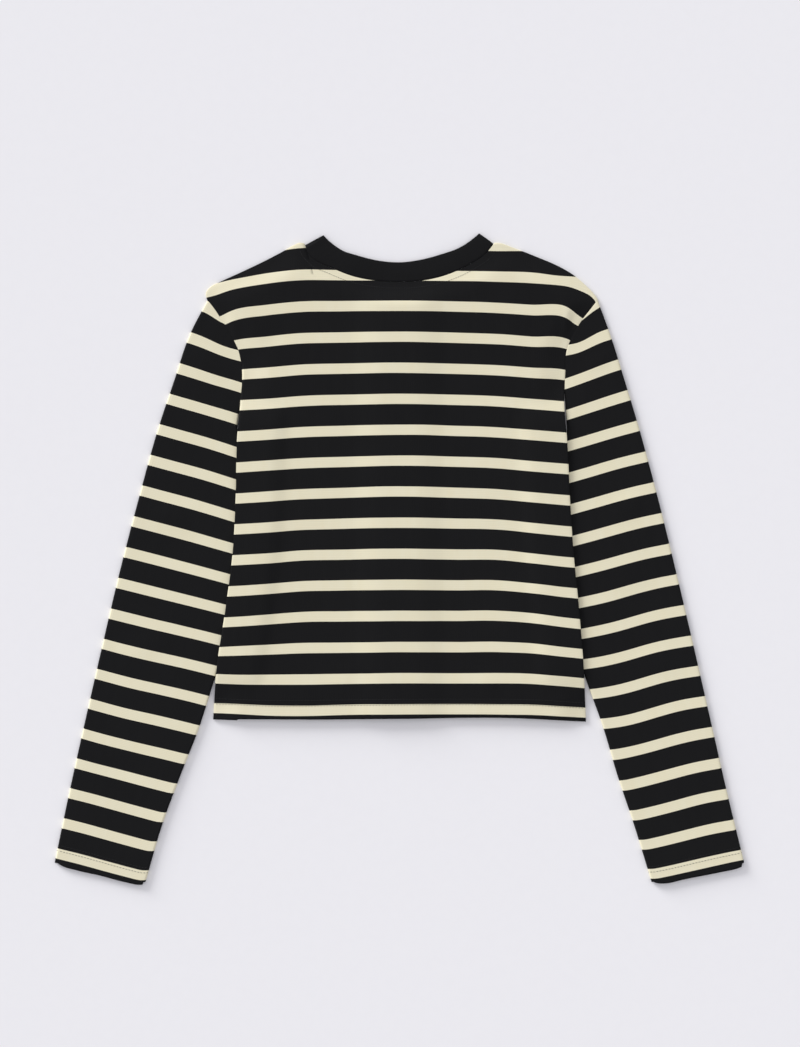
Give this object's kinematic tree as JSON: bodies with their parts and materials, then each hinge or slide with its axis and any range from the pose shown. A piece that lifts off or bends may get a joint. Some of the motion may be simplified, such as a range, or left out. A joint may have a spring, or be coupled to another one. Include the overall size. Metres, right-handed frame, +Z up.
{
  "type": "cardigan",
  "caption": "Round-neck striped jersey cardigan with long sleeves, buttoned and laid flat face down, back up.",
  "frame": {"origin": "middle of the garment's footprint, on the surface that it lies on", "axes": "+Z up out of the back, +Y from the hem to the neck, +X towards the wearer's right sleeve"},
  "size_m": [0.7164, 0.6753, 0.0076],
  "materials": {
    "striped_jersey": "fine matte jersey knit, black with narrow cream stripes",
    "black_jersey_band": "fine matte jersey knit, folded double, black",
    "button_plastic": "moulded black plastic, softly polished"
  },
  "bodies": {
    "root": {"back": "striped_jersey", "left_front": "striped_jersey", "right_front": "striped_jersey", "left_sleeve": "striped_jersey", "right_sleeve": "striped_jersey", "neckband": "black_jersey_band", "left_button_band": "black_jersey_band", "right_button_band": "black_jersey_band", "button_1": "button_plastic", "button_2": "button_plastic", "button_3": "button_plastic", "button_4": "button_plastic", "button_5": "button_plastic", "button_6": "button_plastic"}
  },
  "joints": []
}
